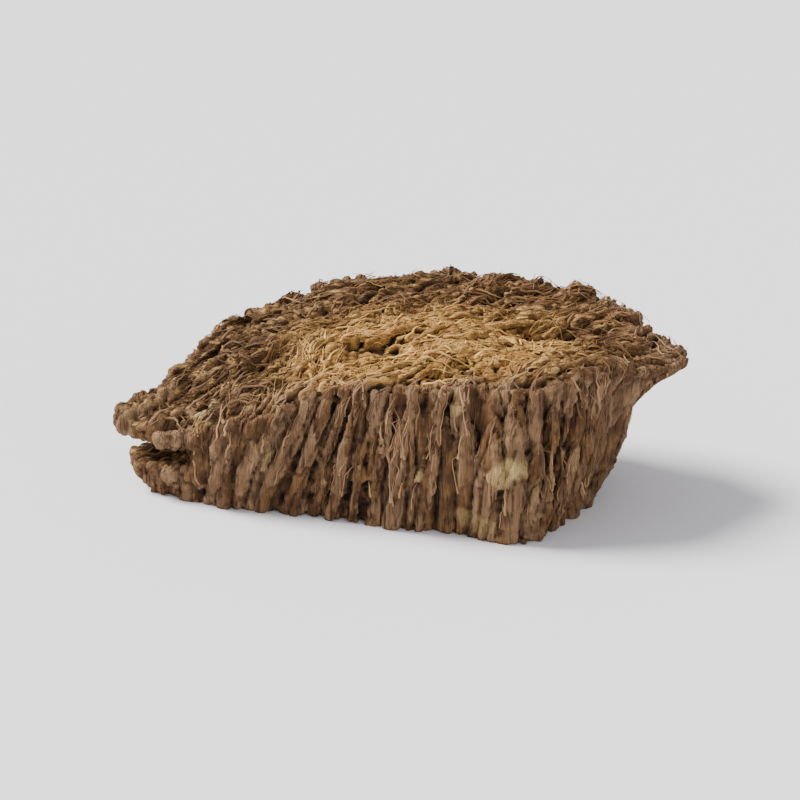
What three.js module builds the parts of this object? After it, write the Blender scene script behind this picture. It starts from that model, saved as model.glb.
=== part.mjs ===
// A piece of dried burdock root: one thick slice, cut across the root and dried until it shrank
// and wrinkled. It lies on its lower cut face, and is one solid.
//
// Millimetres, +Z up. The origin is the middle of the slice's footprint, on the surface that it
// rests on. +X runs along the slice's length to its pointed end, and +Y to its back.

import * as THREE from "three";

// The slice as a whole.
const LENGTH = 14.0; // along X, from the split end to the pointed end
const DEPTH = 8.4; // along Y
const HEIGHT = 4.75; // of the upper cut face's rim, at its highest

// The rims of the two cut faces, as shares of half the length, half the depth and the height.
// Each row is one place on the way round: upper rim x, y and z, then lower rim x and y.
const RIMS = [
  [-0.94, -0.02, 0.34, -0.87, -0.03], // split end, the lower tip
  [-0.66, -0.36, 0.48, -0.73, -0.2],
  [-0.34, -0.5, 0.67, -0.43, -0.42],
  [-0.09, -0.6, 0.79, -0.14, -0.58],
  [0.17, -0.72, 0.84, 0.14, -0.73],
  [0.43, -0.8, 0.86, 0.39, -0.9], // the front's fullest place
  [0.7, -0.62, 0.86, 0.54, -0.66],
  [0.9, -0.24, 0.81, 0.66, -0.26],
  [1.0, 0.02, 0.77, 0.67, 0.05], // pointed end, which overhangs the lower face
  [0.89, 0.33, 0.84, 0.66, 0.31],
  [0.66, 0.74, 0.92, 0.56, 0.64],
  [0.29, 0.95, 0.95, 0.27, 0.86],
  [-0.07, 0.99, 0.93, -0.07, 0.9],
  [-0.4, 0.86, 0.89, -0.4, 0.79],
  [-0.67, 0.5, 0.69, -0.66, 0.45],
  [-0.9, 0.26, 0.51, -0.8, 0.22],
  [-1.0, 0.11, 0.41, -0.87, 0.12], // split end, the upper tip
];

// The bark's long wrinkles, which run up the side as flutes, along the root.
const FLUTES = 52; // round the slice
const CROWDING = 1.5; // they lie closer together at the front left and wider at the back right
const CROWDED_AT = 0.18; // as a share of the way round
const FLUTE_DEPTH = 0.36;
const LEAN = 1.1; // flutes at the front left lean by this many spacings, towards the pointed end
const LEAN_AT = 0.15; // as a share of the way round
const LEAN_REACH = 0.08; // also as a share of it
const BELLY = 0.2; // the side swells this much half way up

// The split between the two tips of the thin end.
const SPLIT_DEPTH = 1.5;
const SPLIT_REACH = 1.3; // how far along the slice it runs, in from the end
const SPLIT_LEVEL = 0.66; // as a share of the side's height
const SPLIT_GAPE = 0.14; // half its height, as a share of the side's height

// The hollow under the pointed end, which leaves the end a thin flap.
const HOLLOW_DEPTH = 0.7;
const HOLLOW_REACH = 1.6; // how far along the slice it runs, in from the end

// The upper cut face.
const MIDDLE = 4.1; // its middle's height, before it rolls
const ROLL = 0.2; // it stands this much above the rim, which is torn and rolls down
const TORN = 0.2; // the height of the uneven patches that tearing left

// How finely the surface is divided.
const AROUND = 288;
const SIDE_ROWS = 7;
const UPPER_RINGS = 6;
const LOWER_RINGS = 1;

const TURN = 2 * Math.PI;
const mix = (a, b, t) => a + (b - a) * t;
const bump = (t) => Math.exp(-t * t);

const rimThrough = (toPoint) => new THREE.CatmullRomCurve3(RIMS.map(toPoint), true, "centripetal");
const upperRim = rimThrough(
  ([x, y, z]) => new THREE.Vector3((x * LENGTH) / 2, (y * DEPTH) / 2, z * HEIGHT),
);
const lowerRim = rimThrough(
  ([, , , x, y]) => new THREE.Vector3((x * LENGTH) / 2, (y * DEPTH) / 2, 0),
);

// How far the wrinkles move the side in or out, at a share of the way round and of the way up.
// A ridge is round and a furrow is sharp. Their depth comes and goes, and some run out on the way.
function wrinkle(round, up) {
  const crowding = CROWDING * Math.sin(TURN * (round - CROWDED_AT));
  const wander = 0.35 * Math.sin(TURN * 7 * round + 4.1) + 0.1 * Math.sin(TURN * 5 * round + 3 * up);
  const lean = LEAN * (up - 0.5) * bump((round - LEAN_AT) / LEAN_REACH);
  const flute = FLUTES * round + crowding + wander - lean;
  const ridge = Math.abs(Math.sin((TURN * flute) / 2)) ** 0.75;
  const depth = 0.68 + 0.32 * Math.sin(TURN * 6 * round + 2 * up + 0.6);
  const lumps = 0.1 * Math.sin(TURN * 9 * round + 1.9) + 0.08 * Math.sin(TURN * 4 * round + 3 * up);
  return FLUTE_DEPTH * depth * (ridge - 1) + lumps;
}

// How far in the split goes, at a distance along the slice and a share of the way up.
function split(x, up) {
  const inFromTip = (x + LENGTH / 2) / SPLIT_REACH;
  return SPLIT_DEPTH * bump(inFromTip) * bump((up - SPLIT_LEVEL) / SPLIT_GAPE);
}

// How far in the hollow goes. It is deepest a little below the flap.
function hollow(x, up) {
  const inFromTip = (LENGTH / 2 - x) / HOLLOW_REACH;
  return HOLLOW_DEPTH * bump(inFromTip) * Math.sin(Math.PI * up * up);
}

// The uneven patches of a torn face, from -1 to 1.
function torn(x, y) {
  const broad = Math.sin(1.15 * x + 0.9 * y + 0.4) * Math.sin(1.7 * y - 0.6 * x + 2.2);
  const narrow = Math.sin(2.9 * x - 1.4 * y) * Math.sin(2.2 * x + 3.1 * y + 1.1);
  return 0.6 * broad + 0.4 * narrow;
}

// A point of the side. Its relief moves it straight out from the slice's middle.
function onSide(round, up, relief = 1) {
  const t = upperRim.getUtoTmapping(round);
  const top = upperRim.getPoint(t);
  const point = lowerRim.getPoint(t).lerp(top, up);
  const swelling = BELLY * Math.sin(Math.PI * up);
  const cutBack = split(top.x, up) + hollow(top.x, up);
  const outward = relief * (swelling + wrinkle(round, up) - cutBack);
  const grown = 1 + outward / Math.hypot(point.x, point.y);
  return new THREE.Vector3(point.x * grown, point.y * grown, point.z);
}

// A point of the upper cut face, at a share of the way out from its middle. The bark's relief
// fades quickly away from the rim.
function onUpperFace(round, out) {
  const rim = onSide(round, 1, out ** 6);
  const x = rim.x * out;
  const y = rim.y * out;
  const level = mix(MIDDLE, rim.z, out * out) + ROLL * (1 - out ** 4);
  return new THREE.Vector3(x, y, level + TORN * torn(x, y) * (1 - out ** 8));
}

// A point of the flat lower cut face.
function onLowerFace(round, out) {
  return onSide(round, 0).multiplyScalar(out);
}

// The surface is divided as a turned disc is, from the middle of the lower face, up the side and
// in to the middle of the upper face. Each of the disc's points then moves to its own place.
function sliceGeometry() {
  const shares = (count) => Array.from({ length: count }, (_, i) => i / count);
  const rows = [
    ...shares(LOWER_RINGS).map((out) => (round) => onLowerFace(round, out)),
    ...shares(SIDE_ROWS).map((up) => (round) => onSide(round, up)),
    ...shares(UPPER_RINGS).map((inward) => (round) => onUpperFace(round, 1 - inward)),
    (round) => onUpperFace(round, 0),
  ];
  const profile = rows.map((_, row) => new THREE.Vector2(1, row));
  const geometry = new THREE.LatheGeometry(profile, AROUND);
  const points = geometry.getAttribute("position");
  for (let i = 0; i <= AROUND; i++) {
    const round = (i % AROUND) / AROUND;
    rows.forEach((place, row) => points.setXYZ(i * rows.length + row, ...place(round)));
  }
  geometry.computeVertexNormals();
  return geometry;
}

// Moves the geometry so that its footprint's middle is the origin and it stands on Z = 0.
function standAtOrigin(geometry) {
  geometry.computeBoundingBox();
  const { min, max } = geometry.boundingBox;
  return geometry.translate(-(min.x + max.x) / 2, -(min.y + max.y) / 2, -min.z);
}

const driedRoot = new THREE.MeshStandardMaterial({ color: 0x8a6a42, roughness: 0.9, metalness: 0 });

const rootSlice = new THREE.Mesh(standAtOrigin(sliceGeometry()), driedRoot);
rootSlice.name = "root_slice";

const burdockRoot = new THREE.Group();
burdockRoot.add(rootSlice);

export default burdockRoot;
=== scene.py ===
# %% [markdown]
# # A dried slice of burdock root
#
# Burdock is a long tap root. It is cut across, and the slices shrink as they dry. The bark then
# folds into deep wrinkles that run along the root, and the cut face turns golden and woolly.
# This lesson carves one slice out of a plain solid, and then frays it.
#
# Places and lengths are in millimetres, unless a comment says metres. +Z is up, +X runs along the
# slice to its pointed end, and +Y to its back.

import itertools
import math

import bmesh
import bpy
import numpy as np
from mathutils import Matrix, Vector
from mathutils.bvhtree import BVHTree


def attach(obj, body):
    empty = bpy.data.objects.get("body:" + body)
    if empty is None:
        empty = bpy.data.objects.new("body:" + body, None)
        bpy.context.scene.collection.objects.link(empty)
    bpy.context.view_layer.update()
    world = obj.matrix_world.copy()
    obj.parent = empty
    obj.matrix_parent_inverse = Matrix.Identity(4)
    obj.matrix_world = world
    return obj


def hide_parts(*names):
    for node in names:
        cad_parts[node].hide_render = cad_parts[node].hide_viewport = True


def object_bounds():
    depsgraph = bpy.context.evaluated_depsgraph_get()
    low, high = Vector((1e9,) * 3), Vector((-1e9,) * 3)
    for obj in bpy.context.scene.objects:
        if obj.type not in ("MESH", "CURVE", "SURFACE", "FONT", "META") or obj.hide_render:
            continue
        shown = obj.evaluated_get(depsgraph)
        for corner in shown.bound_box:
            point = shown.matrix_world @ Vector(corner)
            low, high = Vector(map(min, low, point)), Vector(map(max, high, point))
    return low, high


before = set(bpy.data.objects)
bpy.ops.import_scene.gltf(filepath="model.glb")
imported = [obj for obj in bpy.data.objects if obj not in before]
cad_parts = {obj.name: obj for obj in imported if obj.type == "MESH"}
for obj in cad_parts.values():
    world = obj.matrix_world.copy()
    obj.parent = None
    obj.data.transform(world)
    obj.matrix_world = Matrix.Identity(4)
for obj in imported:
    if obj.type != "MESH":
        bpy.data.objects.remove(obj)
solid_box = [list(corner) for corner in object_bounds()]
MM = 0.001  # a millimetre in Blender's metres
low, high = (np.array(corner) / MM for corner in solid_box)
print("The slice is", np.round(high - low, 2), "mm long, deep and high")

# %% [markdown]
# ## The camera, the table and the light
#
# The slice lies on a pale table and is seen from a little above it, through a long lens, as small
# things on a table are. A long lens keeps the near and far rims nearly the same size.
#
# The table could be a flat plane, but its far edge would show as a horizon from low down. So it is
# a wide, shallow dish. A sun lights it evenly out to the edge, which a lamp close by could not do,
# and a weak lamp in front stands for the light that the room throws back.

# %% Camera
LENS_MM = 300
FRAME_SHARE = 0.72  # of the picture's width that the slice takes
CAMERA_HEIGHT = math.radians(20)  # above the table, seen from the slice
NEAR_LIMIT = 0.01  # metres


def add_object(name, data):
    """A new object in the scene, which holds this data."""
    made = bpy.data.objects.new(name, data)
    bpy.context.scene.collection.objects.link(made)
    return made


camera_data = bpy.data.cameras.new("camera")
camera_data.lens = LENS_MM
camera_data.clip_start = NEAR_LIMIT
camera = add_object("camera", camera_data)
bpy.context.scene.camera = camera
middle = Vector((low + high) / 2 * MM)
picture_width = (high[0] - low[0]) * MM / FRAME_SHARE
distance = picture_width * LENS_MM / camera_data.sensor_width
towards_camera = Vector((0, -math.cos(CAMERA_HEIGHT), math.sin(CAMERA_HEIGHT)))
camera.location = middle + towards_camera * float(distance)
camera.rotation_euler = towards_camera.to_track_quat("Z", "Y").to_euler()
print("The camera stands", round(distance / MM), "mm away")

# %% Table
PALE = (0.80, 0.785, 0.81, 1)
TABLE_ROUGHNESS = 0.7
FLAT_TO, EDGE = 0.3, 0.55  # metres from the slice
SWEEP = 0.045  # metres that the edge rises
RINGS, SPOKES = 12, 96


def shade_smooth(mesh):
    mesh.polygons.foreach_set("use_smooth", [True] * len(mesh.polygons))


table_mesh = bpy.data.meshes.new("table")
dish = bmesh.new()
bmesh.ops.create_circle(dish, cap_ends=True, segments=SPOKES, radius=FLAT_TO)
rim = [edge for edge in dish.edges if edge.is_boundary]
for ring in range(1, RINGS + 1):
    out = ring / RINGS
    grown = bmesh.ops.extrude_edge_only(dish, edges=rim)["geom"]
    rim = [part for part in grown if isinstance(part, bmesh.types.BMEdge)]
    radius = FLAT_TO + (EDGE - FLAT_TO) * out
    for vert in (part for part in grown if isinstance(part, bmesh.types.BMVert)):
        scale = radius / math.hypot(vert.co.x, vert.co.y)
        vert.co = (vert.co.x * scale, vert.co.y * scale, SWEEP * out * out)
bmesh.ops.recalc_face_normals(dish, faces=dish.faces)
dish.to_mesh(table_mesh)
dish.free()
shade_smooth(table_mesh)
table = add_object("table", table_mesh)
table_finish = bpy.data.materials.new("pale_table")
table_finish.use_nodes = True
table_shader = table_finish.node_tree.nodes["Principled BSDF"]
table_shader.inputs["Base Color"].default_value = PALE
table_shader.inputs["Roughness"].default_value = TABLE_ROUGHNESS
table_mesh.materials.append(table_finish)
print("The table has", len(table_mesh.polygons), "faces")

# %% Light
SKY_COLOUR, SKY_STRENGTH = (0.82, 0.82, 0.86, 1), 0.76
WINDOW_COLOUR, WINDOW_ENERGY = (1.0, 0.97, 0.93), 8.4
WINDOW_FROM = (-0.13, 0.05, 0.15)  # metres, though only its direction counts
WINDOW_ANGLE = math.radians(26)  # how wide it looks from the slice, which softens the shadow
BOUNCE_COLOUR, BOUNCE_ENERGY = (0.96, 0.97, 1.0), 0.14
BOUNCE_FROM, BOUNCE_WIDTH = (0.10, -0.16, 0.10), 0.16  # metres

world = bpy.data.worlds.new("studio")
bpy.context.scene.world = world
world.use_nodes = True
sky = world.node_tree.nodes["Background"]
sky.inputs["Color"].default_value = SKY_COLOUR
sky.inputs["Strength"].default_value = SKY_STRENGTH


def add_light(name, kind, direction, energy, colour):
    """A light that looks at the slice from that direction, which is in metres."""
    light = bpy.data.lights.new(name, kind)
    light.energy, light.color = energy, colour
    holder = add_object(name, light)
    holder.location = middle + Vector(direction)
    holder.rotation_euler = Vector(direction).to_track_quat("Z", "Y").to_euler()
    return light


window = add_light("window", "SUN", WINDOW_FROM, WINDOW_ENERGY, WINDOW_COLOUR)
window.angle = WINDOW_ANGLE
bounce = add_light("bounce", "AREA", BOUNCE_FROM, BOUNCE_ENERGY, BOUNCE_COLOUR)
bounce.size = BOUNCE_WIDTH
print("Lights:", [light.name for light in bpy.data.lights])

# %% [markdown]
# ## Noise
#
# Everything that drying does is uneven in the same few ways. So one helper gives smooth humps at
# any size, and a second folds them into round ridges between sharp furrows. A third scatters
# spots. They could be taken from a texture, but they are written out here, so that the same
# numbers can move the surface and colour it.

# %% Noise helpers
CELLS = 256  # how many cells of space have numbers of their own, before they repeat
FARTHEST_SHIFT = 50  # between the patterns of two seeds, in humps
SPOT_SHIFT = 20  # between the pattern of spots and the origin, in spot spacings
SPOT_ROOM = (0.1, 0.9)  # where in its cell a spot may lie
FULL_RANGE = 1.7  # brings the noise to about -1 to 1
FOLD_POWER = 0.7  # under 1, it makes the furrows steeper and the ridges broader


def pick(shuffle, cell):
    """The shuffled number that belongs to each cell."""
    i, j, k = (cell % CELLS).T
    return shuffle[(shuffle[(shuffle[i] + j) % CELLS] + k) % CELLS]


def noise(points, size, seed):
    """Smooth noise, about -1 to 1. size is a hump's length, or its length along x, y and z."""
    draw = np.random.default_rng(seed)
    shuffle = draw.permutation(CELLS)
    slopes = draw.normal(size=(CELLS, 3))
    slopes /= np.linalg.norm(slopes, axis=1)[:, None]
    place = points / size + draw.uniform(0, FARTHEST_SHIFT, 3)
    cell = np.floor(place).astype(int)
    inside = place - cell
    fade = inside**3 * (inside * (inside * 6 - 15) + 10)
    total = np.zeros(len(points))
    for corner in itertools.product((0, 1), repeat=3):
        slope = slopes[pick(shuffle, cell + corner)]
        share = np.prod(np.where(corner, fade, 1 - fade), axis=1)
        total += share * np.sum(slope * (inside - corner), axis=1)
    return total * FULL_RANGE


def folds(points, size, seed):
    """Round ridges between sharp furrows, from 0 in a furrow to 1 on a ridge."""
    return np.minimum(1, 2 * np.abs(noise(points, size, seed))) ** FOLD_POWER


def spots(points, size, seed):
    """How far each point is from the nearest scattered spot, in spot spacings, and that spot's
    own number from 0 to 1."""
    draw = np.random.default_rng(seed)
    shuffle = draw.permutation(CELLS)
    offsets = draw.uniform(*SPOT_ROOM, (CELLS, 3))
    numbers = draw.uniform(0, 1, CELLS)
    place = points / size + SPOT_SHIFT
    cell = np.floor(place).astype(int)
    nearest = np.full(len(points), np.inf)
    number = np.zeros(len(points))
    for step in itertools.product((-1, 0, 1), repeat=3):
        which = pick(shuffle, cell + step)
        away = np.linalg.norm(cell + step + offsets[which] - place, axis=1)
        closer = away < nearest
        nearest[closer] = away[closer]
        number[closer] = numbers[which[closer]]
    return nearest, number


# %% Noise in use
CLIMB = (0.35, 0.65)  # the part of a step that is not level


def ramp(values, start, end):
    """0 below start and 1 above end, with a smooth way between."""
    t = np.clip((values - start) / (end - start), 0, 1)
    return t * t * (3 - 2 * t)


def humps(points, height, size, seed):
    """Smooth humps and dips, about this high and deep."""
    return height * noise(points, size, seed)


def ridges(points, height, level, size, seed):
    """Folds of this height. level is the share of it that is cut in, and the rest is raised."""
    return height * (folds(points, size, seed) - level)


def layers(points, height, steps, size, seed):
    """Humps with a few flat levels, as torn layers have."""
    scaled = noise(points, size, seed) * steps
    level = np.floor(scaled)
    return height * ((level + ramp(scaled - level, *CLIMB)) / steps)


def shaken(points, by, size, seed):
    """Places moved by up to this much, so that a straight pattern on them bends."""
    return points + humps(points, by, size, seed)[:, None]


# %% [markdown]
# ## A surface to carve
#
# The solid's own faces are long and few. Subdividing them would keep them long. A voxel remesh
# covers the solid with small, even squares instead, so that detail can go anywhere. It is done in
# millimetres, because a remesh in metres can't take steps this small.

# %% Remesh helpers
WELD = 1e-7  # metres between two points that are one


def in_millimetres(node):
    """A copy of a node's mesh, welded and scaled to millimetres."""
    shape = bmesh.new()
    shape.from_mesh(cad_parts[node].data)
    bmesh.ops.remove_doubles(shape, verts=shape.verts, dist=WELD)
    bmesh.ops.scale(shape, vec=Vector((1 / MM,) * 3), verts=shape.verts)
    mesh = bpy.data.meshes.new(node + "_copy")
    shape.to_mesh(mesh)
    shape.free()
    return mesh


def with_modifier(mesh, kind, settings, inputs=()):
    """What a modifier makes of a mesh. inputs are those of its node tree, by identifier."""
    holder = add_object("holder", mesh)
    modifier = holder.modifiers.new("modifier", kind)
    for name, value in settings.items():
        setattr(modifier, name, value)
    for key, value in dict(inputs).items():
        modifier[key] = value
    evaluated = holder.evaluated_get(bpy.context.evaluated_depsgraph_get())
    result = bpy.data.meshes.new_from_object(evaluated)
    bpy.data.objects.remove(holder)
    return result


def remeshed(mesh, step):
    """The same surface in squares of about this size."""
    return with_modifier(mesh, "REMESH", {"mode": "VOXEL", "voxel_size": step})


def drop_crumbs(mesh):
    """Keeps only the largest connected part, because a remesh can leave loose crumbs."""
    shape = bmesh.new()
    shape.from_mesh(mesh)
    unseen = set(shape.verts)
    pieces = []
    while unseen:
        reached = [unseen.pop()]
        for vert in reached:  # the list grows as it is walked
            for edge in vert.link_edges:
                other = edge.other_vert(vert)
                if other in unseen:
                    unseen.remove(other)
                    reached.append(other)
        pieces.append(reached)
    pieces.sort(key=len)
    for crumb in pieces[:-1]:
        bmesh.ops.delete(shape, geom=crumb, context="VERTS")
    shape.to_mesh(mesh)
    shape.free()
    print("Loose crumbs dropped:", len(pieces) - 1)


# %% Reading, moving and evening out a mesh
def rows_of(items, name, width, kind=float):
    """One property of all of a mesh's points or edges, with a row for each."""
    flat = np.empty(len(items) * width, dtype=kind)
    items.foreach_get(name, flat)
    return flat.reshape(-1, width)


def points_of(mesh):
    return rows_of(mesh.vertices, "co", 3)


def normals_of(mesh):
    return rows_of(mesh.vertex_normals, "vector", 3)


def edges_of(mesh):
    return rows_of(mesh.edges, "vertices", 2, int)


def move(mesh, points):
    mesh.vertices.foreach_set("co", points.ravel())
    mesh.update()


def blurred(edges, values, rounds):
    """values evened out between neighbours, over and over."""
    if values.ndim > 1:
        return np.stack([blurred(edges, column, rounds) for column in values.T], axis=1)
    a, b = edges.T
    count = len(values)
    neighbours = np.bincount(edges.ravel(), minlength=count)
    for _ in range(rounds):
        total = np.bincount(a, values[b], count) + np.bincount(b, values[a], count)
        values = (values + total / neighbours) / 2
    return values


def hollows(mesh, rounds):
    """How far each point lies below its surroundings. It is negative on a crest."""
    points = points_of(mesh)
    around = blurred(edges_of(mesh), points, rounds)
    return np.sum((around - points) * normals_of(mesh), axis=1)


# %% [markdown]
# ## Which part is bark and which is cut face
#
# On the plain solid a cut face looks up or down, and bark looks sideways. The carved surface looks
# every way, so it can't be asked. Each carved point asks the nearest place on the plain solid
# instead, and so the walls of a crack still count as cut face. The border is ragged, because the
# knife tore it, so a little noise shakes the answer.
#
# The grain runs up the bark, and flares and leans with it. Patterns on the bark are made on places
# with that flare and lean taken out.

# %% Parts of the surface
PARTS_BLUR = 6  # rounds
BORDER = {"height": 0.18, "size": (0.35, 0.35, 1.5), "seed": 11}  # how it is shaken
LOOKS_UP = (0.38, 0.62)  # from bark to the upper cut face, by a normal's upright share
LOOKS_DOWN = (0.8, 0.93)  # from bark to the lower cut face
LOW_DOWN = (-0.5, -0.2)  # minus the heights at which the lower cut face begins, and is whole

plain = in_millimetres("root_slice")
plain_faces = BVHTree.FromPolygons(
    [vertex.co for vertex in plain.vertices], [face.vertices for face in plain.polygons]
)


def parts(mesh):
    """Each point's share of upper cut face, lower cut face and bark."""
    points = points_of(mesh)
    upward = np.array([plain_faces.find_nearest(point)[1].z for point in points.tolist()])
    upward = blurred(edges_of(mesh), upward, PARTS_BLUR)
    upper = ramp(upward + humps(points, **BORDER), *LOOKS_UP)
    lower = ramp(-upward, *LOOKS_DOWN) * ramp(-points[:, 2], *LOW_DOWN)
    return upper, lower, np.clip(1 - upper - lower, 0, 1)


def border(bark):
    """1 half way between bark and cut face, and 0 on each of them."""
    return 4 * bark * (1 - bark)


print("The plain solid has", len(plain.polygons), "faces")

# %% The grain
LEAN = 0.34  # a slope
LEAN_AT, LEAN_REACH = -2.0, 2.0  # where along x it is greatest, and how far from there it fades
POINTED_FLARE = 0.15  # for each millimetre up, at the pointed end
DEEP_FLARE = 0.03  # the same to the front and back
GRAIN_TURN = math.radians(24)  # the torn fibres of the cut face lie this way, from +X


def lean(points):
    """How far the grain leans towards the pointed end: it does so at the front left."""
    along = np.exp(-(((points[:, 0] - LEAN_AT) / LEAN_REACH) ** 2))
    return LEAN * along * ramp(-points[:, 1], 0, 1)


def along_root(points):
    """Places with the slice's flare and lean taken out, so that the grain runs straight up."""
    x, y, z = points.T
    flare = np.maximum(x, 0) * POINTED_FLARE / high[0]
    straight_x = x / (1 + flare * z) - lean(points) * z
    return np.stack([straight_x, y / (1 + DEEP_FLARE * z), z], axis=1)


def combed(points):
    """Places turned so that the torn fibres of the cut face run along x."""
    c, s = math.cos(GRAIN_TURN), math.sin(GRAIN_TURN)
    x, y, z = points.T
    return np.stack([c * x + s * y, c * y - s * x, z], axis=1)


# %% [markdown]
# ## Carving, first pass
#
# The bark gets smaller folds between the big ones. The cut face gets woolly tufts, torn ledges and
# the cracks that opened as it dried. Sculpting could do it by hand, but every line of noise here
# can be changed and run again. Each moves the surface along its own normal.

# %% Cracks in the upper cut face
# Each crack: where it starts, where it ends, its depth and half its width.
CRACKS = [
    ((-2.4, -0.55), (0.9, -0.45), 0.22, 0.09),
    ((2.5, 0.40), (5.2, 0.55), 0.7, 0.18),
    ((2.9, -0.45), (4.8, -0.95), 0.55, 0.12),
    ((-5.9, 0.55), (-3.0, 1.5), 0.55, 0.14),
    ((0.9, 1.6), (2.5, 2.4), 0.5, 0.11),
    ((-1.5, 1.8), (-0.4, 3.1), 0.45, 0.11),
    ((1.2, -1.9), (2.2, -2.8), 0.4, 0.09),
]
CRACK_WANDER, WANDER_SIZE = 0.14, 0.9
CRACK_TIP = 0.04  # the share of its length at each end where a crack narrows no more
ADDED_WIDTH = 0.25  # all along a crack, as a share of its half width


def from_line(places, start, end):
    """How far along a line each place is, from 0 to 1, and how far away from it."""
    start, run = np.array(start), np.array(end) - np.array(start)
    along = np.clip((places - start) @ run / (run @ run), 0, 1)
    return along, np.linalg.norm(places - start - along[:, None] * run, axis=1)


def cracks(points):
    """How deep the cracks are at each point."""
    flat = points * [1, 1, 0]
    wander = [noise(flat, WANDER_SIZE, seed) for seed in (21, 22)]
    places = points[:, :2] + CRACK_WANDER * np.stack(wander, axis=1)
    depth = np.zeros(len(points))
    for start, end, deep, half_width in CRACKS:
        along, away = from_line(places, start, end)
        bulge = np.sin(np.pi * np.clip(along, CRACK_TIP, 1 - CRACK_TIP))
        narrowing = half_width * (ADDED_WIDTH + bulge)
        depth = np.maximum(depth, deep * np.exp(-((away / narrowing) ** 2)))
    return depth


# %% First pass
BIG_HOLLOWS = 25  # rounds of evening out, which find the solid's own furrows and ridges
SINK, RISE = 2.4, 1.2  # how much more those furrows sink and those ridges rise
THIN_END = (3.2, 5.6)  # left of the middle, from the whole bark to the layered thin end
RIGHT, BACK = (1.5, 4.0), (0.0, 1.5)  # from the middle, into the back right corner
WALL = 0.22  # how much higher the rim stands in that corner
ON_RIM = (0.1, 0.8)  # from the face beside the rim to the rim itself
UNDERSIDE = 0.12  # the depth of the lower face's folds


def first_pass(mesh):
    points, normals = points_of(mesh), normals_of(mesh)
    upper, lower, bark = parts(mesh)
    root = along_root(points)
    fibre = combed(shaken(points, by=0.25, size=1.4, seed=31))
    furrow = hollows(mesh, BIG_HOLLOWS)
    deeper = -SINK * np.maximum(furrow, 0) - RISE * np.minimum(furrow, 0)
    wrinkles = ridges(root, height=0.16, level=0.7, size=(0.7, 0.7, 6.0), seed=32)
    knobs = humps(root, height=0.06, size=(0.6, 0.6, 0.9), seed=33)
    wool = ridges(fibre, height=0.2, level=0.5, size=(1.6, 0.5, 0.8), seed=34)
    tufts = humps(points, height=0.14, size=1.7, seed=35)
    torn = layers(fibre, height=0.3, steps=4, size=(2.8, 0.9, 2.0), seed=36)
    splinters = layers(points, height=0.14, steps=3, size=(5.0, 5.0, 0.45), seed=37)
    thin_end = ramp(-points[:, 0], *THIN_END)
    back_right = ramp(points[:, 0], *RIGHT) * ramp(points[:, 1], *BACK)
    wall = WALL * back_right * ramp(border(bark), *ON_RIM)
    relief = bark * (deeper + wrinkles + knobs + thin_end * splinters)
    relief += upper * (wool + tufts + torn - cracks(points))
    relief += lower * UNDERSIDE * (folds(fibre, size=(1.2, 0.5, 1.0), seed=38) - 1)
    points[:, 2] += wall
    move(mesh, points + normals * relief[:, None])


FIRST_STEP, SECOND_STEP = 0.08, 0.069  # the squares of the two remeshes

carved = remeshed(plain, FIRST_STEP)
first_pass(carved)
carved = remeshed(carved, SECOND_STEP)
drop_crumbs(carved)
print("After the first pass:", len(carved.vertices), "points")

# %% [markdown]
# ## Carving, second pass
#
# The small detail comes after a second remesh, so that it has fresh, even squares to stand on:
# fine folds, skin that has flaked off the bark, and pits and threads in the cut face. Bump in the
# finish could suggest it, but it would be missing from the outline. So it is carved.

# %% Flecks
# Places where the skin has chipped off to pale wood. Each: both ends, the radius, and how pale.
FLECKS = [
    ((2.45, -3.7, 1.8), (2.7, -3.7, 1.95), 0.36, 1.0),
    ((1.5, -3.5, 0.5), (2.1, -3.7, 0.4), 0.26, 0.3),
    ((0.45, -3.15, 1.5), (0.95, -3.25, 2.35), 0.09, 0.85),
    ((1.3, -3.2, 3.4), (1.5, -3.2, 3.5), 0.15, 0.75),
    ((3.7, -3.1, 3.1), (3.8, -3.1, 3.3), 0.15, 0.7),
    ((3.9, -3.2, 1.9), (3.9, -3.2, 2.1), 0.13, 0.7),
    ((-4.9, -0.9, 2.4), (-4.7, -0.8, 2.5), 0.18, 0.7),
    ((-1.9, -2.4, 1.0), (-1.7, -2.4, 1.5), 0.09, 0.5),
    ((-3.4, -1.9, 1.2), (-3.2, -1.9, 1.7), 0.08, 0.5),
]
FLECK_EDGE = (-1.25, -0.85)  # minus the radii at which a fleck begins, and is whole


def flecks(points):
    """How pale each point is: 0 off the flecks."""
    places = shaken(points, by=0.12, size=0.25, seed=61)
    share = np.zeros(len(points))
    for start, end, radius, strength in FLECKS:
        _, away = from_line(places, start, end)
        share = np.maximum(share, strength * ramp(-away / radius, *FLECK_EDGE))
    return share


# %% Second pass
SKIN_LEFT = (-0.15, 0.05)  # from flaked off to whole, by the noise that flakes it
SKIN_THICKNESS, FLECK_THICKNESS = 0.04, 0.05
PIT_DEPTH = 0.2
PITTED = 0.25  # the share of the scattered spots that are pits
PIT_RIM, PIT_FLOOR = 0.12, 0.08  # radii of the smallest pit, in spot spacings
PIT_GROWTH = 0.5  # how much wider the others are, by the spot's own number
UNDER_THREADS, UNDER_DIP = 0.5, 0.05  # the lower face's share of the threads, and how far it sinks
SMALL_HOLLOWS, SHARPNESS = 3, 0.75  # rounds of evening out, and how much is added


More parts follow.
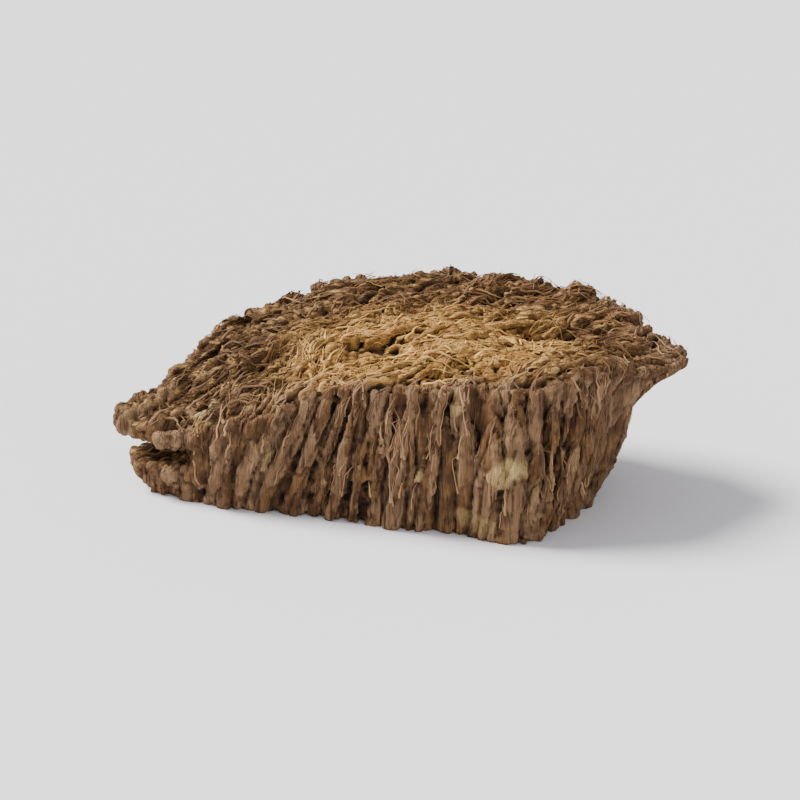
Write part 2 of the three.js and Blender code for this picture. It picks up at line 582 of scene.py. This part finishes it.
def second_pass(mesh):
    """Carves the small detail, and returns where skin is left and where pale wood shows."""
    points, normals = points_of(mesh), normals_of(mesh)
    upper, lower, bark = parts(mesh)
    root = along_root(points)
    fibre = combed(shaken(points, by=0.12, size=0.8, seed=41))
    folded = ridges(root, height=0.10, level=0.6, size=(0.3, 0.3, 3.2), seed=42)
    nicks = humps(root, height=0.02, size=(0.5, 0.5, 0.2), seed=43)
    flaking = noise(root, size=(0.45, 0.45, 1.8), seed=44)
    flaking += humps(root, height=0.3, size=0.2, seed=45)
    skin = ramp(flaking, *SKIN_LEFT)
    pale = flecks(points)
    threads = ridges(fibre, height=0.15, level=0.5, size=(1.5, 0.2, 0.5), seed=46)
    across = fibre[:, [1, 0, 2]]
    crossing = ridges(across, height=0.07, level=0.5, size=(1.1, 0.22, 0.5), seed=47)
    away, number = spots(points, size=0.8, seed=48)
    pit = ramp(-away, -PIT_RIM - PIT_GROWTH * number, -PIT_FLOOR)
    pits = PIT_DEPTH * (number < PITTED) * pit
    relief = bark * (folded + nicks + SKIN_THICKNESS * skin) + FLECK_THICKNESS * pale
    relief += upper * (threads + crossing - pits)
    relief += lower * (UNDER_THREADS * threads - UNDER_DIP)
    move(mesh, points + normals * relief[:, None])
    return skin, pale


def sharpen(mesh, amount):
    """Lifts small crests and sinks small furrows, which the remesh had rounded."""
    points, normals = points_of(mesh), normals_of(mesh)
    move(mesh, points - normals * amount * hollows(mesh, SMALL_HOLLOWS)[:, None])


skin, pale = second_pass(carved)
sharpen(carved, SHARPNESS)
print("Pale flecks cover", int(pale.sum()), "points")

# %% [markdown]
# ## Back to size
#
# Carving moved the surface in and out, so the slice is set back into the box of the plain solid,
# and its underside is pressed onto the table. Cutting the underside off flat would be another way,
# but it would leave a sharp edge that a dried root doesn't have.

# %% Fit to the solid's box
HEADROOM = 0.06  # left for the fibres that stand proud
PRESS = 0.16  # how much of the lower face is pressed flat


def fit(mesh):
    points = points_of(mesh)
    top = high - [0, 0, HEADROOM]
    now_low, now_high = points.min(axis=0), points.max(axis=0)
    points = low + (points - now_low) * (top - low) / (now_high - now_low)
    points[:, 2] = np.maximum(points[:, 2] - PRESS, 0) * top[2] / (top[2] - PRESS)
    move(mesh, points)


fit(carved)
print("The carved slice:", np.round(np.ptp(points_of(carved), axis=0), 2), "mm")

# %% [markdown]
# ## What the colours and the fibres follow
#
# The finish will need to know more than the shape: what is bark, how deep a point lies in a furrow
# or a crack, which sets the shade painted there, how near the golden heart it is, and where skin
# has flaked off. The fibres need to know which way they lie and where they grow. Painting by hand
# could say all this, but it would have to be done again after each change of shape. So each fact is
# measured here and stored on the mesh under its own name.

# %% Facts for the colours
GOLD_MIDDLE, GOLD_REACH = (0.5, -0.9), (4.3, 3.2)  # the golden heart of the cut face
GOLD_EDGE = (-1.05, -0.5)  # minus the reaches at which the gold begins, and is full
FINE, BROAD = 5, 30  # rounds of evening out, for small furrows and big ones
FINE_DEPTH, FINE_SHARE = (-0.06, 0.08), 0.3  # from a crest to a furrow, and what it counts for
BROAD_DEPTH, BROAD_SHARE = (-0.16, 0.17), 0.7
# The cracks get painted shade, from these depths on.
CRACK_SHADE_DEPTHS = (0.12, 0.4)  # the depths from which a crack darkens, and is dark
BROWNED = (1.2, 4.0)  # left of the middle, from golden to browned


def store(mesh, name, values):
    kind, key = ("FLOAT", "value") if values.ndim == 1 else ("FLOAT_VECTOR", "vector")
    mesh.attributes.new(name, kind, "POINT").data.foreach_set(key, values.ravel())


def store_colour_facts(mesh, upper, lower, bark):
    points = points_of(mesh)
    fine = ramp(hollows(mesh, FINE), *FINE_DEPTH)
    broad = ramp(hollows(mesh, BROAD), *BROAD_DEPTH)
    offset = (points[:, :2] - GOLD_MIDDLE) / GOLD_REACH
    reach = np.linalg.norm(offset, axis=1) + humps(points, height=0.18, size=1.3, seed=51)
    store(mesh, "bark", blurred(edges_of(mesh), bark, 1))
    # How deep each point lies in a furrow, which the finish turns into painted shade.
    store(mesh, "furrow", fine * FINE_SHARE + broad * BROAD_SHARE)
    store(mesh, "gold", ramp(-reach, *GOLD_EDGE) * (1 - lower))
    # Where the cracks' painted shade goes.
    store(mesh, "crack", upper * ramp(cracks(points), *CRACK_SHADE_DEPTHS))
    store(mesh, "browned", ramp(-points[:, 0], *BROWNED))


# %% Facts for the fibres
SWIRL = 1.5  # radians that the fibres of the cut face swing to each side
SWAY = 0.2  # a slope, which the strings on the bark wander by
OUTWARD_BLUR, RIM_BLUR = 28, 2  # rounds
OVER_CRACK = (-0.25, -0.08)  # minus the crack's depths at which fibres stop, and are whole
OFF_TABLE, BARK_OFF_TABLE = (0.3, 0.7), (0.1, 0.4)  # heights where they start and are whole
OFF_SPLIT, BARK_OFF_SPLIT = (-6.6, -6.2), (-6.2, -5.6)  # the same along x, at the split end
PATCHY, BARK_PATCHY = (-0.45, 0.4), (0.0, 0.5)  # from bare to frayed, by noise
ON_CREST = (-0.03, 0.06)  # heights over the surroundings where strings start and are whole
OFF_FLECK = (-0.3, -0.1)  # minus the paleness at which strings stop, and are whole
LEAST_FRAY = 0.12  # on the barest bark
RIM_FRAY = 0.5  # added on the rim
NOT_BELOW = 0.9  # the share of bark and upper face that tells the upper rim from the lower


def store_comb(mesh, bark):
    """Which way the fibres lie, and which way is out once the small lumps are evened out."""
    points = points_of(mesh)
    turn = GRAIN_TURN + humps(points, SWIRL, size=1.0, seed=52)
    on_cut = np.stack([np.cos(turn), np.sin(turn), 0 * turn], axis=1)
    sideways = lean(points) + humps(points, SWAY, size=1.0, seed=53)
    inwards = humps(points, SWAY, size=1.0, seed=54)
    on_bark = np.stack([sideways, inwards, 0 * turn + 1], axis=1)
    store(mesh, "comb", (1 - bark)[:, None] * on_cut + bark[:, None] * on_bark)
    store(mesh, "outward", blurred(edges_of(mesh), normals_of(mesh), OUTWARD_BLUR))


def store_fray(mesh, upper, bark, pale):
    """Where loose fibres grow: on torn wool, on the rim and on the crests of the bark."""
    points = points_of(mesh)
    on_rim = border(bark) * (upper + bark > NOT_BELOW)
    store(mesh, "rim", blurred(edges_of(mesh), on_rim, RIM_BLUR))
    fray = upper * ramp(noise(points, size=0.8, seed=55), *PATCHY) + RIM_FRAY * on_rim
    fray *= ramp(-cracks(points), *OVER_CRACK) * ramp(points[:, 0], *OFF_SPLIT)
    store(mesh, "cut_fray", np.clip(fray, 0, 1) * ramp(points[:, 2], *OFF_TABLE))
    patches = np.maximum(ramp(noise(points, size=1.1, seed=56), *BARK_PATCHY), on_rim)
    ragged = LEAST_FRAY + (1 - LEAST_FRAY) * patches
    crests = bark * ramp(-hollows(mesh, BROAD), *ON_CREST) * ramp(points[:, 2], *BARK_OFF_TABLE)
    crests *= ramp(points[:, 0], *BARK_OFF_SPLIT) * ramp(-pale, *OFF_FLECK)
    store(mesh, "bark_fray", crests * ragged)


upper, lower, bark = parts(carved)
store_colour_facts(carved, upper, lower, bark)
store(carved, "skin", skin)
store(carved, "pale", pale)
store_comb(carved, bark)
store_fray(carved, upper, bark, pale)
print("Stored:", [a.name for a in carved.attributes if not a.name.startswith(".")])

# %% [markdown]
# ## The root's finish
#
# Dried root has no shine. Its colours are layered: a grey brown skin over a redder bark, and on the
# cut face an umber rim round a golden heart, with pale straw on the tips of the tufts. The furrows,
# hollows and cracks are darkened as well, nearly to black at their bottoms: that is painted shade,
# on top of the shade that the lights cast there, with a little of the darker tissue that lies in
# the furrows. The colours could be painted on, but paint would blur from close by. Here the stored
# facts choose between the layers, and noise breaks each of them up.

# %% Node helpers
def new_node(tree, kind, inputs=None, **settings):
    """A new node. Its inputs, by name or number, are given a value or another node's output."""
    made = tree.nodes.new(kind)
    for name, value in settings.items():
        setattr(made, name, value)
    for key, value in (inputs or {}).items():
        if isinstance(value, bpy.types.NodeSocket):
            tree.links.new(value, made.inputs[key])
        else:
            made.inputs[key].default_value = value
    return made


def arithmetic(tree, operation, a, b, **settings):
    made = new_node(tree, "ShaderNodeMath", {0: a, 1: b}, operation=operation, **settings)
    return made.outputs[0]


def times(tree, a, b):
    """a times b, kept from 0 to 1."""
    return arithmetic(tree, "MULTIPLY", a, b, use_clamp=True)


def colour_mix(tree, share, below, above):
    """Mixes two colours, each a node's output or three numbers."""
    below, above = ((*c, 1) if isinstance(c, tuple) else c for c in (below, above))
    mix = new_node(
        tree, "ShaderNodeMix", {"Factor": share, 6: below, 7: above}, data_type="RGBA"
    )
    return mix.outputs[2]


def fact(tree, name):
    return new_node(tree, "ShaderNodeAttribute", attribute_name=name).outputs["Fac"]


def pulled(tree, value, start, end):
    """0 where value is below start and 1 where it is above end, with a smooth way between."""
    limits = {"Value": value, "From Min": start, "From Max": end}
    made = new_node(tree, "ShaderNodeMapRange", limits, interpolation_type="SMOOTHSTEP")
    return made.outputs["Result"]


EVEN, GENTLE = (0.35, 0.65), (0.3, 0.7)  # levels of noise between which a colour changes


def mottle(tree, per_mm, levels, stretch=(1, 1, 1)):
    """Noise with this many humps in a millimetre, pulled to 0 and 1 between two levels."""
    place = new_node(tree, "ShaderNodeTexCoord").outputs["Object"]
    mapped = new_node(tree, "ShaderNodeMapping", {"Vector": place, "Scale": stretch})
    settings = {"Vector": mapped.outputs["Vector"], "Scale": per_mm / MM, "Detail": 4}
    return pulled(tree, new_node(tree, "ShaderNodeTexNoise", settings).outputs["Fac"], *levels)


# %% Colours of the bark
ALONG_ROOT = (1, 1, 0.13)  # streaks run up the side
REDDER_BARK = (0.115, 0.052, 0.019), (0.23, 0.118, 0.046)
GREY_SKIN = (0.16, 0.087, 0.041), (0.38, 0.235, 0.122)
SKIN_COVER = 0.8  # how much of the bark the skin hides
STREAK, STREAKED = (0.07, 0.033, 0.014), (0.48, 0.68)  # the colour, and the noise's levels
# Painted shade for the bark's furrows: dark brown part way down, nearly black at the bottom. It is
# added to the shade that the lights cast there, with a little of the darker tissue that lies in the
# furrows.
BARK_FURROW_SHADE, BARK_DEEP_SHADE = (0.055, 0.027, 0.012), (0.012, 0.006, 0.004)
FURROW_SHADE_COVER = 0.7
BARK_SUNKEN, BARK_DEEP = (0.3, 0.65), (0.58, 0.88)  # how far down a furrow each colour comes in


def bark_colour(tree):
    furrow = fact(tree, "furrow")
    raw = colour_mix(tree, mottle(tree, 1.6, EVEN), *REDDER_BARK)
    skin = colour_mix(tree, mottle(tree, 4, GENTLE, ALONG_ROOT), *GREY_SKIN)
    both = colour_mix(tree, times(tree, fact(tree, "skin"), SKIN_COVER), raw, skin)
    streaked = colour_mix(tree, mottle(tree, 8, STREAKED, ALONG_ROOT), both, STREAK)
    # Painted shade in the furrows, darkest at their bottoms.
    furrow_shade = times(tree, pulled(tree, furrow, *BARK_SUNKEN), FURROW_SHADE_COVER)
    darker = colour_mix(tree, furrow_shade, streaked, BARK_FURROW_SHADE)
    return colour_mix(tree, pulled(tree, furrow, *BARK_DEEP), darker, BARK_DEEP_SHADE)


# %% Colours of the cut face
ALONG_FIBRE = (0.3, 1, 1)
UMBER = (0.085, 0.038, 0.012), (0.195, 0.098, 0.033)
GOLD = (0.30, 0.138, 0.030), (0.56, 0.31, 0.082)
BROWN, BROWN_COVER = (0.05, 0.022, 0.008), 0.45
STRAW, STRAW_COVER, TUFTED = (0.64, 0.385, 0.13), 0.65, (0.5, 0.66)
# Painted shade for the hollows of the cut face, nearly black at their bottoms, and for its cracks.
CUT_FURROW_SHADE, CUT_DEEP_SHADE = (0.10, 0.048, 0.018), (0.02, 0.009, 0.004)
CRACK_SHADE, CRACK_SHADE_COVER = (0.025, 0.010, 0.004), 0.85
CUT_SUNKEN, CUT_DEEP = (0.3, 0.6), (0.5, 0.85)


def cut_colour(tree):
    furrow = fact(tree, "furrow")
    umber = colour_mix(tree, mottle(tree, 2.2, EVEN), *UMBER)
    gold = colour_mix(tree, mottle(tree, 1.8, EVEN), *GOLD)
    face = colour_mix(tree, fact(tree, "gold"), umber, gold)
    face = colour_mix(tree, times(tree, fact(tree, "browned"), BROWN_COVER), face, BROWN)
    tufts = times(tree, mottle(tree, 6, TUFTED, ALONG_FIBRE), STRAW_COVER)
    threaded = colour_mix(tree, tufts, face, STRAW)
    # Painted shade in the hollows, darkest at their bottoms.
    furrow_shade = times(tree, pulled(tree, furrow, *CUT_SUNKEN), FURROW_SHADE_COVER)
    darker = colour_mix(tree, furrow_shade, threaded, CUT_FURROW_SHADE)
    deep = colour_mix(tree, pulled(tree, furrow, *CUT_DEEP), darker, CUT_DEEP_SHADE)
    # Painted shade in the cracks.
    return colour_mix(tree, times(tree, fact(tree, "crack"), CRACK_SHADE_COVER), deep, CRACK_SHADE)


# %% Build the root's finish
RIM_COLOUR, RIM_COVER = (0.42, 0.255, 0.125), 0.55
PALE_WOOD = (0.50, 0.36, 0.15)
STRINGS_PER_MM = 11
STRING_HEIGHT = 0.00012  # metres


def plain_finish(name, roughness, shine):
    """A new finish, with its node tree and its shader."""
    finish = bpy.data.materials.new(name)
    finish.use_nodes = True
    shader = finish.node_tree.nodes["Principled BSDF"]
    shader.inputs["Roughness"].default_value = roughness
    shader.inputs["Specular IOR Level"].default_value = shine
    return finish, finish.node_tree, shader


def root_finish():
    finish, tree, shader = plain_finish("dried_root", roughness=0.85, shine=0.25)
    bark = fact(tree, "bark")
    skinned = colour_mix(tree, bark, cut_colour(tree), bark_colour(tree))
    on_rim = times(tree, fact(tree, "rim"), RIM_COVER)
    rimmed = colour_mix(tree, on_rim, skinned, RIM_COLOUR)
    colour = colour_mix(tree, fact(tree, "pale"), rimmed, PALE_WOOD)
    tree.links.new(colour, shader.inputs["Base Color"])
    on_cut, on_bark = (
        mottle(tree, STRINGS_PER_MM, GENTLE, stretch) for stretch in (ALONG_FIBRE, ALONG_ROOT)
    )
    strings = new_node(
        tree, "ShaderNodeMix", {"Factor": bark, 2: on_cut, 3: on_bark}, data_type="FLOAT"
    )
    bump = {"Strength": 1.0, "Distance": STRING_HEIGHT, "Height": strings.outputs[0]}
    relief = new_node(tree, "ShaderNodeBump", bump)
    tree.links.new(relief.outputs["Normal"], shader.inputs["Normal"])
    return finish


# %% [markdown]
# ## The slice as an object
#
# The carved mesh is scaled back to metres, smoothed in its shading, and becomes the piece that
# stands for the plain solid. Scaling the object would give the same size, but a pattern that reads
# object coordinates would still see millimetres, and come out a thousand times too fine.

# %% Make the slice
def add_piece(name, mesh, finish):
    piece = add_object(name, mesh)
    mesh.materials.clear()
    mesh.materials.append(finish)
    print(name, "has", sum(len(face.vertices) - 2 for face in mesh.polygons), "triangles")
    return piece


move(carved, points_of(carved) * MM)
shade_smooth(carved)
dried_slice = add_piece("dried_slice", carved, root_finish())

# %% [markdown]
# ## Torn fibres
#
# The knife tears the tough fibres instead of cutting them, so the cut face is a mat of loose ends,
# and thin strings peel off the bark's ridges. Hair particles could make them, but they would still
# have to be turned into a mesh. There are thousands, and they repeat, so Geometry Nodes grow them.
# Short curves are scattered along the stored comb, pulled down onto the carved surface so that
# they follow its lumps, and then given a flat, tapering body. Only their tips stand clear.

# %% What a strand is made of
STRAND_STEPS, STRAND_SIDES = 5, 4
STRAND_INPUTS = (
    ("Geometry", "Geometry", None),
    ("Where", "String", "cut_fray"),
    ("Density", "Float", 1e7),  # for a square metre
    ("Length", "Float", 0.0008),  # metres
    ("Half Width", "Float", 0.00002),  # metres
    ("Flatness", "Float", 1.0),  # the thickness, as a share of the width
    ("Turn", "Float", 0.6),  # radians away from the comb, at most
    ("Tip Lift", "Float", 0.2),  # at most, as a share of the length
    ("Seed", "Int", 1),
    ("Finish", "Material", None),
)
BENT = {"Start": (0, 0), "Middle": (0.55, 0.12), "End": (1, 0)}  # shares of the length
SCALES = (0.35, 1.3)  # the shortest and the longest strand, as shares of the length
WAVES_PER_MM, WAVE = 2.5, 0.35  # and the wave's height, as a share of the length
SHORT_OF_SURFACE = 0.12  # of the way down that a strand's point does not go
FLOAT = 0.3  # how high over the surface a strand lies, in half widths
NARROWING = 0.85  # the share of the width that is gone at the tip
GIRTHS = (0.4, 1.1)  # the thinnest strand's half width, as a share, and how much more it can be

# %% Helpers for a strand
def vector_math(tree, operation, a, b):
    second = "Scale" if operation == "SCALE" else 1
    return new_node(tree, "ShaderNodeVectorMath", {0: a, second: b}, operation=operation).outputs[0]


def combined(tree, x, y, z):
    return new_node(tree, "ShaderNodeCombineXYZ", {"X": x, "Y": y, "Z": z}).outputs[0]


def stored(tree, name, kind="FLOAT"):
    made = new_node(tree, "GeometryNodeInputNamedAttribute", {"Name": name}, data_type=kind)
    return made.outputs["Attribute"]


def random_between(tree, given, least, most, draw):
    """A random number for each strand. draw tells one such number from the next."""
    seed = arithmetic(tree, "ADD", given["Seed"], draw)
    settings = {2: least, 3: most, "Seed": seed}
    return new_node(tree, "FunctionNodeRandomValue", settings, data_type="FLOAT").outputs[1]


def on_surface(tree, given, value):
    """That field's value at the surface's nearest point."""
    settings = {"Mesh": given["Geometry"], "Value": value}
    made = new_node(tree, "GeometryNodeSampleNearestSurface", settings, data_type="FLOAT_VECTOR")
    return made.outputs["Value"]


# %% Scatter
def scattered(tree, given):
    """Points all over the surface, with a short bent line on each, along the comb."""
    density = arithmetic(tree, "MULTIPLY", given["Density"], stored(tree, given["Where"]))
    settings = {"Mesh": given["Geometry"], "Density": density, "Seed": given["Seed"]}
    points = new_node(tree, "GeometryNodeDistributePointsOnFaces", settings)
    line = new_node(tree, "GeometryNodeCurveQuadraticBezier", {"Resolution": STRAND_STEPS})
    for name, place in BENT.items():
        x, y = (arithmetic(tree, "MULTIPLY", given["Length"], share) for share in place)
        tree.links.new(combined(tree, x, y, 0), line.inputs[name])
    axes = {
        "Primary Axis": stored(tree, "outward", "FLOAT_VECTOR"),
        "Secondary Axis": stored(tree, "comb", "FLOAT_VECTOR"),
    }
    lie = new_node(
        tree, "FunctionNodeAxesToRotation", axes, primary_axis="Z", secondary_axis="X"
    )
    aside = arithmetic(tree, "MULTIPLY", random_between(tree, given, -1, 1, 1), given["Turn"])
    angles = {"Euler": combined(tree, 0, 0, aside)}
    turn = new_node(tree, "FunctionNodeEulerToRotation", angles).outputs["Rotation"]
    turns = {"Rotation": lie.outputs["Rotation"], "Rotate By": turn}
    turned = new_node(tree, "FunctionNodeRotateRotation", turns, rotation_space="LOCAL")
    settings = {
        "Points": points.outputs["Points"],
        "Instance": line.outputs[0],
        "Rotation": turned.outputs["Rotation"],
        "Scale": random_between(tree, given, *SCALES, 4),
    }
    return new_node(tree, "GeometryNodeInstanceOnPoints", settings).outputs["Instances"]


def numbered(tree, given, instances):
    """Each strand keeps three numbers of its own, and becomes a curve of its own: how pale it
    is, how far its tip lifts, and its girth."""
    for name, draw in (("shade", 5), ("loose", 6), ("girth", 7)):
        settings = {
            "Name": name,
            "Geometry": instances,
            "Value": random_between(tree, given, 0, 1, draw),
        }
        keep = new_node(
            tree,
            "GeometryNodeStoreNamedAttribute",
            settings,
            data_type="FLOAT",
            domain="INSTANCE",
        )
        instances = keep.outputs["Geometry"]
    return new_node(tree, "GeometryNodeRealizeInstances", {"Geometry": instances}).outputs[0]


# %% Lay down
def waved(tree, given, curves):
    """A slow wave makes no two strands the same."""
    noise_node = new_node(tree, "ShaderNodeTexNoise", {"Scale": WAVES_PER_MM / MM})
    centred = vector_math(tree, "SUBTRACT", noise_node.outputs["Color"], (0.5, 0.5, 0.5))
    height = arithmetic(tree, "MULTIPLY", given["Length"], WAVE)
    settings = {"Geometry": curves, "Offset": vector_math(tree, "SCALE", centred, height)}
    return new_node(tree, "GeometryNodeSetPosition", settings).outputs["Geometry"]


def laid_down(tree, given, along, curves):
    """Each point drops nearly onto the surface. It stops a little short, so that no two points
    of a strand land on one place. Then the tip lifts."""
    surface = {"Geometry": given["Geometry"]}
    ground = new_node(tree, "GeometryNodeProximity", surface, target_element="FACES")
    landed = vector_math(tree, "SCALE", ground.outputs["Position"], 1 - SHORT_OF_SURFACE)
    floating = new_node(tree, "GeometryNodeInputPosition").outputs["Position"]
    left_over = vector_math(tree, "SCALE", floating, SHORT_OF_SURFACE)
    loose = arithmetic(tree, "POWER", stored(tree, "loose"), 3)
    tip = arithmetic(tree, "MULTIPLY", arithmetic(tree, "POWER", along, 2), loose)
    highest = arithmetic(tree, "MULTIPLY", given["Tip Lift"], given["Length"])
    lift = arithmetic(tree, "MULTIPLY", tip, highest)
    clear = arithmetic(tree, "ADD", lift, arithmetic(tree, "MULTIPLY", given["Half Width"], FLOAT))
    up = on_surface(tree, given, new_node(tree, "GeometryNodeInputNormal").outputs["Normal"])
    settings = {
        "Geometry": curves,
        "Position": vector_math(tree, "ADD", landed, left_over),
        "Offset": vector_math(tree, "SCALE", up, clear),
    }
    drop = new_node(tree, "GeometryNodeSetPosition", settings)
    smooth_up = on_surface(tree, given, stored(tree, "outward", "FLOAT_VECTOR"))
    facing = {"Curve": drop.outputs["Geometry"], "Normal": smooth_up}
    return new_node(tree, "GeometryNodeSetCurveNormal", facing, mode="FREE").outputs["Curve"]


# %% Body
def with_body(tree, given, along, curves):
    """A flattened four-sided tube that narrows to the tip."""
    circle = {"Resolution": STRAND_SIDES, "Radius": 1}
    profile = new_node(tree, "GeometryNodeCurvePrimitiveCircle", circle).outputs[0]
    squeeze = {"Scale": combined(tree, given["Flatness"], 1, 1), "Geometry": profile}
    flat = new_node(tree, "GeometryNodeTransform", squeeze).outputs[0]
    gone = arithmetic(tree, "MULTIPLY", arithmetic(tree, "POWER", along, 2), NARROWING)
    taper = arithmetic(tree, "SUBTRACT", 1, gone)
    thinnest, more = GIRTHS
    extra = arithmetic(tree, "MULTIPLY", stored(tree, "girth"), more)
    girth = arithmetic(tree, "ADD", extra, thinnest)
    half_width = arithmetic(tree, "MULTIPLY", given["Half Width"], girth)
    settings = {
        "Curve": curves,
        "Profile Curve": flat,
        "Scale": arithmetic(tree, "MULTIPLY", taper, half_width),
        "Fill Caps": True,
    }
    tube = new_node(tree, "GeometryNodeCurveToMesh", settings).outputs[0]
    whole = new_node(tree, "GeometryNodeRealizeInstances", {"Geometry": tube}).outputs[0]
    dressed = {"Geometry": whole, "Material": given["Finish"]}
    return new_node(tree, "GeometryNodeSetMaterial", dressed).outputs["Geometry"]


# %% The strand tree
def strand_tree():
    """The tree, and the identifier by which a modifier knows each of its inputs."""
    tree = bpy.data.node_groups.new("torn_strands", "GeometryNodeTree")
    new_socket = tree.interface.new_socket
    ids = {}
    for name, kind, value in STRAND_INPUTS:
        socket = new_socket(name, in_out="INPUT", socket_type="NodeSocket" + kind)
        if value is not None:
            socket.default_value = value
        ids[name] = socket.identifier
    new_socket("Geometry", in_out="OUTPUT", socket_type="NodeSocketGeometry")
    given = new_node(tree, "NodeGroupInput").outputs
    along = new_node(tree, "GeometryNodeSplineParameter").outputs["Factor"]
    curves = waved(tree, given, numbered(tree, given, scattered(tree, given)))
    strands = with_body(tree, given, along, laid_down(tree, given, along, curves))
    new_node(tree, "NodeGroupOutput", {"Geometry": strands})
    return tree, ids


STRANDS, STRAND_IDS = strand_tree()
print("The strand tree has", len(STRANDS.nodes), "nodes")

# %% Finish of the fibres
BROWN_FIBRE = (0.075, 0.032, 0.010), (0.25, 0.13, 0.045)
GOLDEN_FIBRE = (0.31, 0.14, 0.032), (0.76, 0.47, 0.15)
BARK_FIBRE = (0.09, 0.042, 0.018), (0.38, 0.225, 0.11)
BROWNED_COVER = 0.4


def fibre_finish():
    finish, tree, shader = plain_finish("torn_fibre", roughness=0.75, shine=0.3)
    shade = fact(tree, "shade")
    brown = colour_mix(tree, shade, *BROWN_FIBRE)
    golden = colour_mix(tree, shade, *GOLDEN_FIBRE)
    on_bark = colour_mix(tree, shade, *BARK_FIBRE)
    on_cut = colour_mix(tree, fact(tree, "gold"), brown, golden)
    browned = times(tree, fact(tree, "browned"), BROWNED_COVER)
    on_cut = colour_mix(tree, browned, on_cut, BROWN)
    colour = colour_mix(tree, fact(tree, "bark"), on_cut, on_bark)
    tree.links.new(colour, shader.inputs["Base Color"])
    return finish


# %% Grow the fibres
FIBRES = {
    "Where": "cut_fray",
    "Density": 30e6,
    "Length": 0.0005,
    "Half Width": 0.000011,
    "Flatness": 1.0,
    "Turn": 0.9,
    "Tip Lift": 0.4,
    "Seed": 3,
}
SLIVERS = {
    "Where": "cut_fray",
    "Density": 22e6,
    "Length": 0.0006,
    "Half Width": 0.000042,
    "Flatness": 0.4,
    "Turn": 0.8,
    "Tip Lift": 0.2,
    "Seed": 8,
}
STRINGS = {
    "Where": "bark_fray",
    "Density": 22e6,
    "Length": 0.0008,
    "Half Width": 0.000026,
    "Flatness": 0.45,
    "Turn": 0.2,
    "Tip Lift": 0.06,
    "Seed": 20,
}


def kept_inside(points):
    """Moves each whole strand that leaves the solid's box back into it."""
    strands = points.reshape(-1, (STRAND_STEPS + 1) * STRAND_SIDES, 3)
    above = np.maximum(strands.max(axis=1) - high * MM, 0)
    below = np.minimum(strands.min(axis=1) - low * MM, 0)
    return (strands - (above + below)[:, None]).reshape(-1, 3)


def grow(name, finish, settings):
    """One mesh of strands all over the slice, made by the strand tree."""
    inputs = {STRAND_IDS[key]: value for key, value in (settings | {"Finish": finish}).items()}
    mesh = with_modifier(carved, "NODES", {"node_group": STRANDS}, inputs)
    move(mesh, kept_inside(points_of(mesh)))
    return add_piece(name, mesh, finish)


torn = fibre_finish()
fibres = grow("torn_fibres", torn, FIBRES)
slivers = grow("torn_slivers", torn, SLIVERS)
strings = grow("bark_strings", torn, STRINGS)

# %% [markdown]
# ## Hand over
#
# The slice and its fibres are one body that nothing moves. The carved slice stands for the plain
# solid, which is hidden.

# %% Ride, replace and finish
for piece in (dried_slice, fibres, slivers, strings):
    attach(piece, "root")
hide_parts("root_slice")
